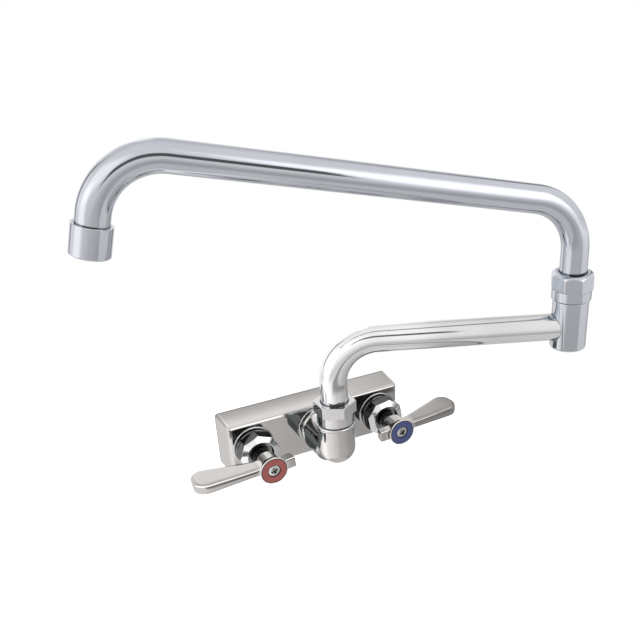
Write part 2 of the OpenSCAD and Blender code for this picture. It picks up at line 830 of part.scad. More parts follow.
// Plastic insert that straightens the stream: a ring across which slats cross
module flow_straightener() {
    reach = floor((insert_r - insert_wall) / slat_gap);
    color(plastic) translate([0, 0, mouth_wall]) {
        ring(insert_r, insert_r - insert_wall, 0, insert_h);
        intersection() {
            cylinder(r = insert_r - insert_wall / 2, h = slat_h);
            for (turn = [0, 90], i = [-reach:reach]) rotate(turn)
                translate([-insert_r, i * slat_gap - slat_t / 2, 0])
                    cube([2 * insert_r, slat_t, slat_h]);
        }
    }
}

module outlet_gasket() {
    color(rubber) ring(tube_r, gasket_bore_r, gasket_bottom, gasket_top);
}

body_casting();
on_valve(-1) seat_seal();  // hot_seat_seal
on_valve(1) seat_seal();  // cold_seat_seal
on_valve(-1) fixed_disc();  // hot_fixed_disc
on_valve(1) fixed_disc();  // cold_fixed_disc
on_valve(-1) cartridge();  // hot_cartridge
on_valve(1) cartridge();  // cold_cartridge
on_valve(-1) cartridge_o_ring();  // hot_cartridge_o_ring
on_valve(1) cartridge_o_ring();  // cold_cartridge_o_ring
on_valve(-1) rotate(hot_nut_turn) bonnet_nut();  // hot_bonnet_nut
on_valve(1) rotate(cold_nut_turn) bonnet_nut();  // cold_bonnet_nut
on_valve(-1) moving_disc();  // hot_moving_disc
on_valve(1) moving_disc();  // cold_moving_disc
on_valve(-1) stem();  // hot_stem
on_valve(1) stem();  // cold_stem
on_valve(-1) stem_o_rings();  // hot_stem_o_rings
on_valve(1) stem_o_rings();  // cold_stem_o_rings
on_valve(-1) rotate(hot_droop) mirror([1, 0, 0]) lever();  // hot_lever
on_valve(1) lever();  // cold_lever
on_valve(-1) index_ring(hot_red);  // hot_index_ring
on_valve(1) index_ring(cold_blue);  // cold_index_ring
on_valve(-1) rotate(hot_screw_turn) handle_screw();  // hot_handle_screw
on_valve(1) rotate(cold_screw_turn) handle_screw();  // cold_handle_screw
lower_swivel_nut();
at_lower_swivel() swivel_washer();  // lower_swivel_washer
at_lower_swivel() spigot();  // lower_spigot
at_lower_swivel() spigot_o_rings();  // lower_spigot_o_rings
arm_1_tube();
arm_1_end_casting();
upper_swivel_nut();
at_upper_swivel() swivel_washer();  // upper_swivel_washer
at_upper_swivel() spigot();  // upper_spigot
at_upper_swivel() spigot_o_rings();  // upper_spigot_o_rings
arm_2_tube();
on_outlet() outlet_gasket();
on_outlet() flow_straightener();
on_outlet() outlet_collar();
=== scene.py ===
import json
import math

import bpy
from mathutils import Matrix, Vector


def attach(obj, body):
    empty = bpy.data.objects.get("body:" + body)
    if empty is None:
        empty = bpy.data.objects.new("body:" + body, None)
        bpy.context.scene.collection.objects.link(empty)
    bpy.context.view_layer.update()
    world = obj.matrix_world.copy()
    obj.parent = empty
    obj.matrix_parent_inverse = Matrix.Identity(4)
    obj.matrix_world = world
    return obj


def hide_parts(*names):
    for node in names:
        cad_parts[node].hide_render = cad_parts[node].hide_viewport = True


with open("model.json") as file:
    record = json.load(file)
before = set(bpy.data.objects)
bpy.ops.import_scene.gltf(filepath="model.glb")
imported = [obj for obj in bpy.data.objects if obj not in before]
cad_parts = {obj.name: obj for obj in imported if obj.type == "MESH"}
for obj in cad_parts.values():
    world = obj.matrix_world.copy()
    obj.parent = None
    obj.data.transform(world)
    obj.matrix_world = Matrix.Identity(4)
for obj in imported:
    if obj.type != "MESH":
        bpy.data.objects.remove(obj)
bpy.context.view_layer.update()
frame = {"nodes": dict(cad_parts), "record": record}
nodes = frame["nodes"]
behaviour = frame["record"]["behaviour"]
scene = bpy.context.scene
scene.view_settings.view_transform = "Standard"

MM = 0.001
DEGREES = 180 / math.pi
BODY_OF = {name: body for body, names in behaviour["bodies"].items() for name in names}
JOINT_AT = {joint["name"]: joint["pos_m"] for joint in behaviour["joints"]}
VALVE_X = JOINT_AT["cold_valve"][0]


def placed(name, data):
    """A new object in the scene."""
    made = bpy.data.objects.new(name, data)
    scene.collection.objects.link(made)
    return made


# Camera, at the photograph's viewing angle

CAMERA_AT = Vector((-0.2160, -0.5383, 0.3147))
CAMERA_TURN, CAMERA_TILT, CAMERA_ROLL = -31.47, 28.10, 0.11
LENS_MM, SENSOR_MM, SHIFT_X, SHIFT_Y = 47.475, 36, -0.1722, 0.1317
NEAREST, FARTHEST = 0.01, 20


def make_camera():
    turn, tilt, roll = (math.radians(x) for x in (CAMERA_TURN, CAMERA_TILT, CAMERA_ROLL))
    back = Vector((math.sin(turn) * math.cos(tilt), -math.cos(turn) * math.cos(tilt), math.sin(tilt)))
    right = (-back).cross(Vector((0, 0, 1))).normalized()
    up = right.cross(-back)
    rolled_right = math.cos(roll) * right - math.sin(roll) * up
    rolled_up = math.sin(roll) * right + math.cos(roll) * up
    data = bpy.data.cameras.new("camera")
    data.lens, data.sensor_width = LENS_MM, SENSOR_MM
    data.shift_x, data.shift_y = SHIFT_X, SHIFT_Y
    data.clip_start, data.clip_end = NEAREST, FARTHEST
    turned = Matrix((rolled_right, rolled_up, back)).transposed()
    camera = placed("camera", data)
    camera.matrix_world = Matrix.Translation(CAMERA_AT) @ turned.to_4x4()
    scene.camera = camera


make_camera()


# Node helpers

class Graph:
    """A material's or world's nodes, with short calls that add and wire them."""

    def __init__(self, tree):
        self.tree = tree
        tree.nodes.clear()

    def node(self, kind, **settings):
        """A new node. A setting is the node's own, or else the value of the socket with that name."""
        made = self.tree.nodes.new(kind)
        for name, value in settings.items():
            if hasattr(made, name):
                setattr(made, name, value)
            else:
                made.inputs[name.replace("_", " ")].default_value = value
        return made

    def link(self, out, into):
        self.tree.links.new(out, into)

    def put(self, value, socket):
        """The socket gets a value, or a wire from another socket."""
        if isinstance(value, bpy.types.NodeSocket):
            self.link(value, socket)
        else:
            socket.default_value = value

    def coordinates(self, kind):
        return self.node("ShaderNodeTexCoord").outputs[kind]

    def split(self, vector):
        """The x, y and z of a vector."""
        made = self.node("ShaderNodeSeparateXYZ")
        self.link(vector, made.inputs[0])
        return made.outputs

    def math(self, operation, *values):
        made = self.node("ShaderNodeMath", operation=operation)
        for socket, value in zip(made.inputs, values):
            self.put(value, socket)
        return made.outputs[0]

    def plus(self, first, *others):
        for other in others:
            first = self.math("ADD", first, other)
        return first

    def times(self, first, *others):
        for other in others:
            first = self.math("MULTIPLY", first, other)
        return first

    def less(self, *shares):
        """1 less the product of the shares."""
        return self.math("SUBTRACT", 1.0, self.times(*shares))

    def smooth(self, value, low, high, out_low=0.0, out_high=1.0):
        """out_low up to low, out_high from high on, and a soft step between."""
        made = self.node("ShaderNodeMapRange", interpolation_type="SMOOTHSTEP")
        wanted = {"Value": value, "From Min": low, "From Max": high, "To Min": out_low, "To Max": out_high}
        for name, setting in wanted.items():
            self.put(setting, made.inputs[name])
        return made.outputs[0]

    def window(self, value, centre, half, soft):
        """1 within half of centre, falling to 0 over soft."""
        away = self.math("ABSOLUTE", self.math("SUBTRACT", value, centre))
        return self.smooth(away, half, half + soft, 1.0, 0.0)

    def ramp(self, value, low, high, stops):
        """A level read off by value, from (value, level) stops."""
        made = self.node("ShaderNodeValToRGB")
        made.color_ramp.interpolation = "EASE"
        span = high - low
        elements = made.color_ramp.elements
        while len(elements) < len(stops):
            elements.new(0.5)
        for element, (at, level) in zip(elements, stops):
            element.position = (at - low) / span
            element.color = grey(level)
        self.link(self.math("DIVIDE", self.math("SUBTRACT", value, low), span), made.inputs[0])
        return made.outputs["Color"]

    def azimuth(self, across, forward):
        """Degrees from straight ahead, more to the right."""
        return self.times(self.math("ARCTAN2", across, forward), DEGREES)

    def mix(self, factor, first, second):
        """A colour between two, which are the node's sockets 6 and 7, with output 2."""
        made = self.node("ShaderNodeMix", data_type="RGBA")
        self.put(factor, made.inputs["Factor"])
        self.put(first, made.inputs[6])
        self.put(second, made.inputs[7])
        return made.outputs[2]

    def scaled(self, colour, factor):
        made = self.node("ShaderNodeVectorMath", operation="SCALE")
        self.link(colour, made.inputs[0])
        self.link(factor, made.inputs["Scale"])
        return made.outputs[0]

    def ray(self, kind):
        return self.node("ShaderNodeLightPath").outputs[kind]

    def seen_twice(self):
        """1 for what shows only in the mirror image of a mirror image."""
        return self.math("GREATER_THAN", self.ray("Glossy Depth"), 1.5)

    def blend(self, factor, first, second):
        """The first shader where factor is 0, and the second where it is 1."""
        made = self.node("ShaderNodeMixShader")
        for socket, out in zip(made.inputs, (factor, first, second)):
            self.put(out, socket)
        return made.outputs[0]

    def show(self, shader, kind="ShaderNodeOutputMaterial"):
        self.link(shader, self.node(kind).inputs["Surface"])


def grey(level):
    return (level, level, level, 1.0)


# World: a pale light tent, with brighter cards and dark flags that only the metal sees

# Brightness by elevation, before and behind the faucet
FRONT_LEVELS = [
    (-90, 0.78), (-52, 0.76), (-38, 0.62), (-29, 0.52), (-16, 0.68),
    (-4, 0.92), (12, 1.0), (42, 1.02), (90, 1.0),
]
BACK_LEVELS = [
    (-90, 0.78), (-45, 0.80), (-20, 0.85), (-6, 1.15), (8, 1.35),
    (22, 1.25), (36, 0.95), (50, 0.86), (90, 1.0),
]
BACK_FROM, BACK_TO = 95.0, 140.0

# Azimuth with its half width and soft edge, elevation with the same, all in degrees, and how much
# a card adds or a flag takes away
CARDS = [
    (-88.0, 10.0, 22.0, -12.0, 22.0, 22.0, 0.55),
    (60.0, 28.0, 10.0, -24.0, 14.0, 14.0, 0.32),
    (-156.0, 12.0, 6.0, -25.0, 18.0, 12.0, 0.30),
    (29.0, 15.0, 12.0, 25.0, 8.0, 26.0, 0.90),
    (174.0, 5.0, 6.0, 33.0, 12.0, 8.0, 0.38),
    (-68.0, 20.0, 22.0, 30.0, 8.0, 18.0, 0.42),
]
FLAGS = [
    (126.0, 4.0, 4.0, -10.0, 40.0, 25.0, 0.60),
    (-142.0, 4.0, 5.0, -10.0, 40.0, 25.0, 0.50),
    (138.0, 9.0, 6.0, 28.0, 14.0, 8.0, 0.28),
    (-151.0, 5.0, 4.0, 10.0, 14.0, 8.0, 0.60),
]
TWICE_FLAG = (0.0, 62.0, 18.0, 32.0, 24.0, 8.0, 0.90)
TWICE_TINT = (0.90, 0.96, 1.0, 1.0)
LIGHT_LEVEL = 0.85


def make_world():
    """White to the camera, an even light on dull surfaces, and the tent in the metal."""
    world = bpy.data.worlds.new("studio")
    scene.world = world
    world.use_nodes = True
    net = Graph(world.node_tree)
    x, y, z = net.split(net.coordinates("Generated"))
    turn = net.azimuth(x, net.times(y, -1.0))
    height = net.times(net.math("ARCSINE", z), DEGREES)
    behind = net.smooth(net.math("ABSOLUTE", turn), BACK_FROM, BACK_TO)
    front = net.ramp(height, -90, 90, FRONT_LEVELS)
    back = net.ramp(height, -90, 90, BACK_LEVELS)
    brightness = net.node("ShaderNodeRGBToBW")
    net.link(net.mix(behind, front, back), brightness.inputs[0])
    level = brightness.outputs[0]

    def patch(turn_at, turn_half, turn_soft, height_at, height_half, height_soft, amount):
        across = net.window(turn, turn_at, turn_half, turn_soft)
        upward = net.window(height, height_at, height_half, height_soft)
        return net.times(across, upward, amount)

    for card in CARDS:
        level = net.plus(level, patch(*card))
    for flag in FLAGS:
        level = net.times(level, net.less(patch(*flag)))
    again = net.seen_twice()
    level = net.times(level, net.less(again, patch(*TWICE_FLAG)))
    mirrored = net.node("ShaderNodeBackground")
    net.link(net.mix(again, grey(1.0), TWICE_TINT), mirrored.inputs["Color"])
    net.link(level, mirrored.inputs["Strength"])
    light = net.node("ShaderNodeBackground", Color=grey(1.0), Strength=LIGHT_LEVEL)
    white = net.node("ShaderNodeBackground", Color=grey(1.0), Strength=1.0)
    lit = net.blend(net.ray("Is Glossy Ray"), light.outputs[0], mirrored.outputs[0])
    net.show(net.blend(net.ray("Is Camera Ray"), lit, white.outputs[0]), "ShaderNodeOutputWorld")


make_world()


# Parts that the materials share

def new_material(name):
    material = bpy.data.materials.new(name)
    material.use_nodes = True
    return material, Graph(material.node_tree)


def principled(name, colour, metallic, roughness, **settings):
    material, net = new_material(name)
    shader = net.node("ShaderNodeBsdfPrincipled", Metallic=metallic, Roughness=roughness, **settings)
    shader.inputs["Base Color"].default_value = (*colour, 1.0)
    net.show(shader.outputs[0])
    return material, net, shader


def noise(net, scale, detail, rough=0.5):
    made = net.node("ShaderNodeTexNoise", Scale=scale, Detail=detail, Roughness=rough)
    net.link(net.coordinates("Object"), made.inputs["Vector"])
    return made.outputs["Fac"]


def bump(net, height, shader, distance):
    made = net.node("ShaderNodeBump", Strength=1.0, Distance=distance)
    net.link(height, made.inputs["Height"])
    net.link(made.outputs[0], shader.inputs["Normal"])


def painted_recess_shade(net, reach, low, high, deepest):
    """Painted shade: 1 where a surface lies open, down to deepest in corners and recesses."""
    made = net.node("ShaderNodeAmbientOcclusion", samples=6, Distance=reach)
    return net.smooth(made.outputs["AO"], low, high, deepest, 1.0)


def off_valve_axis(net):
    """Distance from the nearer valve's axis, in mm."""
    at = net.split(net.coordinates("Object"))
    across = net.math("SUBTRACT", net.math("ABSOLUTE", at[0]), VALVE_X)
    squared = net.plus(net.times(across, across), net.times(at[2], at[2]))
    return net.times(net.math("SQRT", squared), 1 / MM)


def surface(net):
    """Place and direction of the surface: x, y and z of each, in the object's own axes."""
    return net.split(net.coordinates("Object")), net.split(net.coordinates("Normal"))


# Painted light and shade on the metal, as a factor on its colour: painted reflections, highlights and
# shade in place of the studio's light. Each place is a (from, to) over which the painted shade changes:
# along x, the depth y (which is 0 at the wall and falls forward) or the height z in metres, or off a
# valve's axis in mm.

TOP_RIGHT = (0.0, 45 * MM)
TOP_DEPTH = (-26 * MM, -2 * MM)
WALL_LINE_DEPTH = (-2.4 * MM, -1.0 * MM)
BOSS_OFF_AXIS = (19.0, 21.0)
BOSS_DEPTH = (-24.2 * MM, -23.4 * MM)
BARREL_DEPTH = (-31 * MM, -28 * MM)
ELBOW_DEPTH = (-54 * MM, -51 * MM)
ELBOW_HEIGHT = (0.5 * MM, 3.0 * MM)


def body_painted_light(net):
    """Painted light on the casting: its top brightens forward from a painted dark line at the wall, and
    the bosses' sides carry painted shade.

    The outlet barrel's left side has painted shade too, beside a painted highlight band down the elbow.
    """
    at, toward = surface(net)
    # Painted reflection on the top, brighter to the front
    on_top = net.times(net.smooth(toward[2], 0.8, 0.95), net.smooth(at[0], *TOP_RIGHT, 1.0, 0.25))
    top = net.plus(1.0, net.times(on_top, net.smooth(at[1], *TOP_DEPTH, 0.40, -0.29)))
    # A painted dark line along the wall
    wall = net.smooth(at[1], *WALL_LINE_DEPTH, 1.0, 0.45)
    # Painted shade on the bosses' sides
    near = net.smooth(off_valve_axis(net), *BOSS_OFF_AXIS, 1.0, 0.0)
    proud = net.times(near, net.smooth(at[1], *BOSS_DEPTH, 1.0, 0.0))
    side = net.times(proud, net.smooth(toward[1], -0.99, -0.35, 0.45, 1.0))
    boss = net.less(side, net.smooth(toward[2], -0.5, 0.3, 0.35, 0.84))
    # Painted shade on the outlet barrel's left side, beside a painted highlight band down the elbow
    barrel = net.smooth(at[1], *BARREL_DEPTH, 1.0, 0.0)
    barrel_side = net.times(barrel, net.smooth(toward[2], 0.35, 0.6, 1.0, 0.0))
    left = net.times(barrel_side, net.smooth(toward[0], -0.35, -0.1, 1.0, 0.0))
    band = net.times(left, net.window(toward[1], -0.34, 0.10, 0.18), 0.34)
    behind = net.times(net.smooth(at[1], *ELBOW_DEPTH), net.smooth(at[2], *ELBOW_HEIGHT, 0.55, 0.0))
    elbow = net.plus(1.0, net.math("SUBTRACT", band, net.times(left, behind)))
    return net.times(top, wall, boss, elbow)


def nut_painted_shade(net):
    """Painted shade: the nut's flats are darker than its turned cone."""
    toward = net.split(net.coordinates("Normal"))
    return net.smooth(toward[1], -0.75, -0.35, 1.0, 0.13)


HOT_TO_COLD = (-20 * MM, 20 * MM)
ARM_ROOT_OFF_AXIS = (10.5, 14.0)
ARM_OFF_AXIS = (10.6, 11.4)
HUB_BARREL_OFF_AXIS = (8.4, 9.2)
RIM_OFF_AXIS, RIM_HALF, RIM_SOFT = 9.8, 0.5, 0.2
STUB_OFF_AXIS = (10.4, 11.0)
STUB_ACROSS = (42.0 * MM, 43.5 * MM)


def lever_painted_light(net):
    """Painted light: the arm is a little darker than the hub, the cold arm darker still, and the hub's
    barrel has painted shade on its left.

    The hub's front rim, the stub's front and the hot arm's front edge carry painted highlights, with a
    painted dark line under that edge and painted shade on the hot stub's top.
    """
    at, toward = surface(net)
    away = off_valve_axis(net)
    hot = net.smooth(at[0], *HOT_TO_COLD, 1.0, 0.12)
    arm = net.smooth(at[0], *HOT_TO_COLD, 0.78, 0.70)
    barrel = net.smooth(away, *HUB_BARREL_OFF_AXIS, 1.0, 0.0)
    barrel_left = net.times(barrel, net.smooth(toward[0], -0.45, -0.05, 1.0, 0.0))
    tone = net.times(net.smooth(away, *ARM_ROOT_OFF_AXIS, 1.0, arm), net.less(barrel_left, 0.62))

    # Painted highlights on the hub's front rim and the hot arm's front edge
    rim = net.window(away, RIM_OFF_AXIS, RIM_HALF, RIM_SOFT)
    rim = net.times(rim, net.smooth(toward[1], -0.95, -0.3, 0.45, 0.0))
    forward = net.smooth(toward[1], -0.45, -0.25, 1.0, 0.0)
    out = net.times(hot, net.smooth(away, *ARM_OFF_AXIS))
    edge = net.times(forward, out, net.window(toward[2], 0.46, 0.16, 0.10))
    tone = net.plus(tone, rim, net.times(edge, 0.80))

    # A painted highlight on the stub's front, and painted shade on the hot stub's top
    inward = net.smooth(net.math("ABSOLUTE", at[0]), *STUB_ACROSS, 1.0, 0.0)
    ahead = net.plus(0.30, net.window(toward[2], 0.60, 0.22, 0.10))
    ahead = net.times(forward, ahead, net.smooth(away, *STUB_OFF_AXIS))
    above = net.times(hot, 0.68, net.smooth(toward[2], 0.80, 0.95))
    stub = net.times(inward, net.math("SUBTRACT", ahead, above))

    # A painted dark line under the hot arm's front edge
    flank = net.times(out, net.window(toward[0], 0.0, 0.25, 0.2))
    under = net.times(forward, flank, net.window(toward[2], 0.11, 0.07, 0.06))
    return net.times(tone, net.plus(1.0, stub), net.less(under, 0.72))


ARM_1_BEND_ACROSS = (50 * MM, 72 * MM)


def arm_1_painted_light(net):
    """Painted light: the arm's foot and bend are brighter than its length."""
    at = net.split(net.coordinates("Object"))
    return net.smooth(at[0], *ARM_1_BEND_ACROSS, 1.20, 1.0)


RECESS_OFF_AXIS = (2.0, 3.2)


def screw_painted_shade(net):
    """Painted shade: a screw's face is darker round its recess than on its rim."""
    return net.smooth(off_valve_axis(net), *RECESS_OFF_AXIS, 0.55, 1.0)


# Materials

def chrome(name, light, dark, roughness, ripple, smudge_scale, shade=None):
    """Polished chrome, with soft smudges and a ripple so many metres deep."""
    material, net, shader = principled(name, light, 1.0, roughness, Specular_Tint=grey(0.85))
    clouds = noise(net, smudge_scale, 4.0, 0.6)
    fine = noise(net, smudge_scale * 9, 3.0)
    tone = net.mix(net.smooth(clouds, 0.35, 0.7), (*light, 1.0), (*dark, 1.0))
    if shade:
        tone = net.scaled(tone, shade(net))
    # Painted shade in corners and recesses
    tone = net.scaled(tone, painted_recess_shade(net, 3.0 * MM, 0.25, 0.85, 0.35))
    net.link(tone, shader.inputs["Base Color"])
    smudges = net.plus(net.times(clouds, 0.6), net.times(fine, 0.4))
    dullness = net.smooth(smudges, 0.3, 0.75, roughness * 0.75, roughness * 1.45)
    net.link(dullness, shader.inputs["Roughness"])
    bump(net, noise(net, 90.0, 2.0), shader, ripple)
    return material


def metal(name, light, dark, roughness, scale=400.0, deepest=0.3, shade=None):
    """Turned or plated metal with a fine grain, and painted shade in its recesses."""
    material, net, shader = principled(name, light, 1.0, roughness)
    grain = noise(net, scale, 4.0)
    tone = net.mix(net.smooth(grain, 0.3, 0.7), (*light, 1.0), (*dark, 1.0))
    if shade:
        tone = net.scaled(tone, shade(net))
    # Painted shade in corners and recesses
    tone = net.scaled(tone, painted_recess_shade(net, 1.5 * MM, 0.35, 0.8, deepest))
    net.link(tone, shader.inputs["Base Color"])
    net.link(net.smooth(grain, 0.3, 0.7, roughness * 0.8, roughness * 1.3), shader.inputs["Roughness"])
    bump(net, noise(net, scale * 3, 2.0), shader, 0.01 * MM)
    return material


def plain(name, light, dark, roughness):
    """Rubber, ceramic or plastic with a fine grain."""
    material, net, shader = principled(name, light, 0.0, roughness)
    grain = noise(net, 300.0, 4.0)
    tone = net.mix(net.smooth(grain, 0.3, 0.7), (*light, 1.0), (*dark, 1.0))
    net.link(tone, shader.inputs["Base Color"])
    net.link(net.smooth(grain, 0.3, 0.7, roughness * 0.85, roughness * 1.2), shader.inputs["Roughness"])
    bump(net, noise(net, 1200.0, 2.0), shader, 0.02 * MM)
    return material


RING_INNER_OFF_AXIS, RING_OUTER_OFF_AXIS = (4.5, 4.9), (8.75, 9.1)


def paint(name, light, dark):
    """The index rings' paint, mottled, with painted shade along both rims."""
    material, net, shader = principled(name, light, 0.0, 0.38, Coat_Weight=0.25, Coat_Roughness=0.2)
    mottle = noise(net, 900.0, 3.0)
    away = off_valve_axis(net)
    tone = net.mix(net.smooth(mottle, 0.35, 0.7), (*light, 1.0), (*dark, 1.0))
    # Painted shade where the ring meets its recess, inside and out
    inner_rim = net.smooth(away, *RING_INNER_OFF_AXIS, 0.12, 1.0)
    outer_rim = net.smooth(away, *RING_OUTER_OFF_AXIS, 1.0, 0.12)
    net.link(net.scaled(tone, net.times(inner_rim, outer_rim)), shader.inputs["Base Color"])
    net.link(net.smooth(mottle, 0.3, 0.7, 0.3, 0.46), shader.inputs["Roughness"])
    bump(net, noise(net, 1800.0, 2.0), shader, 0.02 * MM)
    return material


# The chrome parts' colours differ as painted light: the first arm's tube, the lower swivel nut and the
# bonnet nuts are brighter copies of the same chrome
CASTING_COLOURS = ((0.605, 0.582, 0.567), (0.556, 0.535, 0.520))
TUBE_COLOURS = ((0.570, 0.585, 0.630), (0.532, 0.548, 0.592))
PAINTED_LIGHT_TUBE_COLOURS = ((0.76, 0.745, 0.745), (0.70, 0.685, 0.685))
SWIVEL_NUT_COLOURS = ((0.68, 0.665, 0.66), (0.62, 0.605, 0.60))
BONNET_NUT_COLOURS = ((0.86, 0.845, 0.835), (0.80, 0.785, 0.775))
LEVER_COLOURS = ((0.64, 0.615, 0.595), (0.59, 0.565, 0.55))
SCREW_COLOURS = ((0.84, 0.83, 0.81), (0.72, 0.71, 0.70))
CASTING_SMUDGES, TUBE_SMUDGES = 22.0, 16.0
FLAT_RIPPLE, TUBE_RIPPLE, DEEP_RIPPLE = 0.02 * MM, 0.03 * MM, 0.04 * MM

MATERIALS = {
    "chrome_body": chrome("polished_casting", *CASTING_COLOURS, 0.055, DEEP_RIPPLE, CASTING_SMUDGES),
    "chrome_tube": chrome("polished_tube", *TUBE_COLOURS, 0.085, TUBE_RIPPLE, TUBE_SMUDGES),
    "brass": metal("machined_brass", (0.80, 0.60, 0.30), (0.66, 0.47, 0.22), 0.28),
    "stem_steel": metal("turned_stem", (0.42, 0.41, 0.40), (0.30, 0.295, 0.29), 0.16),
    "screw_steel": metal("screw_steel", *SCREW_COLOURS, 0.20, 700.0, 0.01, screw_painted_shade),
    "rubber": plain("black_rubber", (0.022, 0.022, 0.023), (0.012, 0.012, 0.013), 0.62),
    "ceramic": plain("white_ceramic", (0.82, 0.80, 0.75), (0.74, 0.72, 0.67), 0.22),
    "slip_plastic": plain("moulded_plastic", (0.74, 0.74, 0.71), (0.66, 0.66, 0.63), 0.42),
    "index_red": paint("index_red_paint", (0.36, 0.080, 0.070), (0.29, 0.060, 0.054)),
    "index_blue": paint("index_blue_paint", (0.052, 0.072, 0.215), (0.040, 0.056, 0.175)),
}
NODE_MATERIALS = {
    "arm_1_tube": chrome(
        "tube_painted_light", *PAINTED_LIGHT_TUBE_COLOURS, 0.085, DEEP_RIPPLE, TUBE_SMUDGES, arm_1_painted_light,
    ),
    "lower_swivel_nut": chrome("bright_nut", *SWIVEL_NUT_COLOURS, 0.06, DEEP_RIPPLE, CASTING_SMUDGES),
    # The cartridges take a darker copy of the turned metal: painted shade inside the bonnet nuts
    "hot_cartridge": metal("gland_painted_shade", (0.36, 0.355, 0.35), (0.24, 0.237, 0.233), 0.14),
    "body_casting": chrome(
        "polished_body", *CASTING_COLOURS, 0.055, DEEP_RIPPLE, CASTING_SMUDGES, body_painted_light,
    ),
}
NODE_MATERIALS["cold_cartridge"] = NODE_MATERIALS["hot_cartridge"]
for side in ("hot", "cold"):
    NODE_MATERIALS[side + "_bonnet_nut"] = chrome(
        side + "_nut_chrome", *BONNET_NUT_COLOURS, 0.06, FLAT_RIPPLE, CASTING_SMUDGES, nut_painted_shade,
    )
    NODE_MATERIALS[side + "_lever"] = chrome(
        side + "_lever_chrome", *LEVER_COLOURS, 0.06, FLAT_RIPPLE, CASTING_SMUDGES, lever_painted_light,
    )

node_slots = {}
for node in nodes.values():
    for index, material_slot in enumerate(node.material_slots):
        slot_name = material_slot.material.name.split(".")[0]
        node_slots[node.name] = slot_name
        node.data.materials[index] = NODE_MATERIALS.get(node.name, MATERIALS[slot_name])


# Worn castings and nuts: the CAD shapes with every edge eased, as polishing leaves it

WELD_WITHIN = 0.005 * MM


def stand_for(piece, name):
    """The piece shows in place of a CAD node, on its body and with its finish."""
    slot = node_slots[name]
    piece.data.materials.clear()
    piece.data.materials.append(NODE_MATERIALS.get(name, MATERIALS[slot]))
    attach(piece, BODY_OF[name])
    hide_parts(name)


def remeshed(name, voxel):
    """A fine even mesh of a CAD node, with squares voxel mm wide."""
    work = placed("work", nodes[name].data.copy())
    work.modifiers.new("weld", "WELD").merge_threshold = WELD_WITHIN
    remesh = work.modifiers.new("remesh", "REMESH")
    remesh.mode = "VOXEL"
    remesh.voxel_size = voxel * MM
    mesh = bpy.data.meshes.new_from_object(work.evaluated_get(bpy.context.evaluated_depsgraph_get()))
    bpy.data.objects.remove(work)
    mesh.name = name + "_eased"
    return mesh


def eased(name, voxel, passes, softness=None, plump=0.0, reshape=None):
    """Replace a CAD node by a remeshed copy, fattened by plump mm and smoothed in so many passes.

    softness(point) says how much of both a point gets, from 0 to 1, and reshape(point) moves it first.
    """
    mesh = remeshed(name, voxel)
    if reshape:
        for vertex in mesh.vertices:
            vertex.co = reshape(vertex.co)
    mesh.shade_smooth()
    piece = placed(name + "_eased", mesh)
    fatten = piece.modifiers.new("fatten", "DISPLACE")
    fatten.mid_level, fatten.strength = 0.0, plump * MM
    ease = piece.modifiers.new("ease", "SMOOTH")
    ease.factor, ease.iterations = 0.5, passes
    if softness:
        soft = piece.vertex_groups.new(name="soft")
        wanted = {}
        for vertex in mesh.vertices:
            wanted.setdefault(softness(vertex.co), []).append(vertex.index)
        for amount, indices in wanted.items():
            soft.add(indices, amount, "REPLACE")
        fatten.vertex_group = ease.vertex_group = "soft"
    stand_for(piece, name)


HUB_REACH = 10.7 * MM
HUB_SOFTNESS, STUB_SOFTNESS, ARM_SOFTNESS = 0.10, 0.20, 1.0


def lever_softness(point):
    """Full on the arms, little on the stubs behind the hubs and hardly any on the hubs' thin rims."""
    out = abs(point.x) - VALVE_X
    if math.hypot(out, point.z) < HUB_REACH:
        return HUB_SOFTNESS
    return ARM_SOFTNESS if out > 0 else STUB_SOFTNESS


# The barrel grows away from the elbow's axis and drops, between two depths, below the top and between
# the sides. Each limit is a (from, to) over which the change fades.
ELBOW_Z, BARREL_GROWTH, BARREL_DROP = 2.5 * MM, 0.098, 2.5 * MM
FULL_FRONT, FULL_BACK = (-52.5 * MM, -49.5 * MM), (-30.5 * MM, -28 * MM)
FULL_TOP, FULL_SIDE = (-3 * MM, 5 * MM), (15 * MM, 17 * MM)


def soft_step(value, low, high):
    """0 up to low, 1 from high on, and a soft step between."""
    share = min(1.0, max(0.0, (value - low) / (high - low)))
    return share * share * (3 - 2 * share)


def full_barrel(point):
    """The outlet barrel's underside, fuller and lower behind the elbow's bowl."""
    along = soft_step(point.y, *FULL_FRONT) * (1 - soft_step(point.y, *FULL_BACK))
    amount = along * (1 - soft_step(point.z, *FULL_TOP)) * (1 - soft_step(abs(point.x), *FULL_SIDE))
    if not amount:
        return point
    out = Vector((point.x * BARREL_GROWTH, 0, (point.z - ELBOW_Z) * BARREL_GROWTH - BARREL_DROP))
    return point + amount * out


eased("body_casting", 0.42, 3, reshape=full_barrel)
for name in ("hot_lever", "cold_lever"):
    eased(name, 0.18, 420, lever_softness, 0.35)
for name in ("hot_bonnet_nut", "cold_bonnet_nut"):
    eased(name, 0.22, 4)
eased("lower_swivel_nut", 0.24, 6)
eased("upper_swivel_nut", 0.24, 10)
eased("arm_1_end_casting", 0.36, 3)


# Bent tubes, swept in one piece. Their sizes are in mm.

TUBE_R, BORE_R, TUBE_SIDES = 9.525, 8.325, 112
BEND_STEP = 2.0
END_EDGE = math.radians(50)
FOOT_ABOVE_JOINT = 11.65
ARM_1_HEADING, ARM_1_BEND_R = math.radians(-22.5), 31.75
ARM_1_Z, ARM_1_REACH = 83.9, 157.95
ARM_2_HEADING, ARM_2_BEND_R = math.radians(167.6), 38.1
ARM_2_RISE, ARM_2_RUN, ARM_2_DROP = 86.2, 292.7, 50.0
SLOPE, LEAN = math.radians(10.78), math.radians(14.5)


